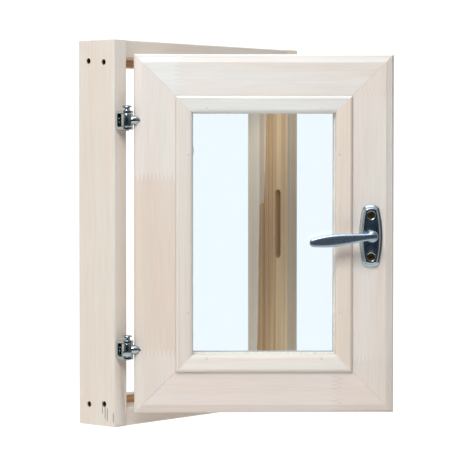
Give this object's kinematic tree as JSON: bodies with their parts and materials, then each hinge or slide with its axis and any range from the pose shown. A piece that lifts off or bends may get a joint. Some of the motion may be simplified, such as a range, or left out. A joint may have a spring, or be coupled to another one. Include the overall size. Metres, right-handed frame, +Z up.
{
  "type": "window sash with handle",
  "caption": "Small side-hung wooden vent window: a rebated frame and a mitred glazed sash on pin hinges, with a turn handle and latch.",
  "frame": {"origin": "middle of the sill's flat underside", "axes": "+X along the frame's width towards the lock jamb, +Y into the wall away from the viewer, +Z up the jambs"},
  "size_m": [0.298, 0.2717, 0.4],
  "materials": {
    "frame_wood": "planed limewood with a thin white wash",
    "sash_wood": "sanded limewood with a thin white wash",
    "bead_wood": "moulded limewood with a thin white wash",
    "dowel_wood": "plain beech dowel",
    "zinc_plate": "bright zinc plated",
    "yellow_zinc": "yellow passivated zinc",
    "chrome": "polished chrome plate",
    "glass": "clear float glass",
    "spacer_aluminium": "mill finish",
    "sealant": "matt",
    "packer_plastic": "matt"
  },
  "bodies": {
    "frame": {"left_jamb": "frame_wood", "right_jamb": "frame_wood", "head_rail": "frame_wood", "sill_rail": "frame_wood", "frame_screws": "yellow_zinc", "hinge_fork_upper": "zinc_plate", "hinge_fork_lower": "zinc_plate", "fork_screw_upper": "zinc_plate", "fork_screw_lower": "zinc_plate"},
    "pin_upper": {"hinge_pin_upper": "zinc_plate"},
    "pin_lower": {"hinge_pin_lower": "zinc_plate"},
    "sash": {"hinge_eye_upper": "zinc_plate", "hinge_eye_lower": "zinc_plate", "left_stile": "sash_wood", "right_stile": "sash_wood", "top_rail": "sash_wood", "bottom_rail": "sash_wood", "corner_dowels": "dowel_wood", "bead_left": "bead_wood", "bead_right": "bead_wood", "bead_top": "bead_wood", "bead_bottom": "bead_wood", "bead_brads": "zinc_plate", "front_pane": "glass", "back_pane": "glass", "spacer_bar": "spacer_aluminium", "edge_seal": "sealant", "bedding_tape": "sealant", "setting_blocks": "packer_plastic", "handle_plate": "chrome", "plate_screws": "yellow_zinc"},
    "handle": {"handle_lever": "chrome", "spindle": "zinc_plate", "latch_tongue": "zinc_plate", "spindle_washer": "zinc_plate"}
  },
  "joints": [
    {"name": "sash_hinge", "type": "hinge", "parent": "frame", "child": "sash", "pos_m": [-0.141, -0.0365, 0.2], "axis": [0, 0, -1], "range_deg": [-48, 117]},
    {"name": "handle_turn", "type": "hinge", "parent": "sash", "child": "handle", "pos_m": [0.02422, -0.22522, 0.198], "axis": [-0.7431, -0.6691, 0], "range_deg": [0, 83]},
    {"name": "upper_pin_lift", "type": "slide", "parent": "frame", "child": "pin_upper", "axis": [0, 0, 1], "range_m": [0, 0.022]},
    {"name": "lower_pin_lift", "type": "slide", "parent": "frame", "child": "pin_lower", "axis": [0, 0, 1], "range_m": [0, 0.022]}
  ]
}
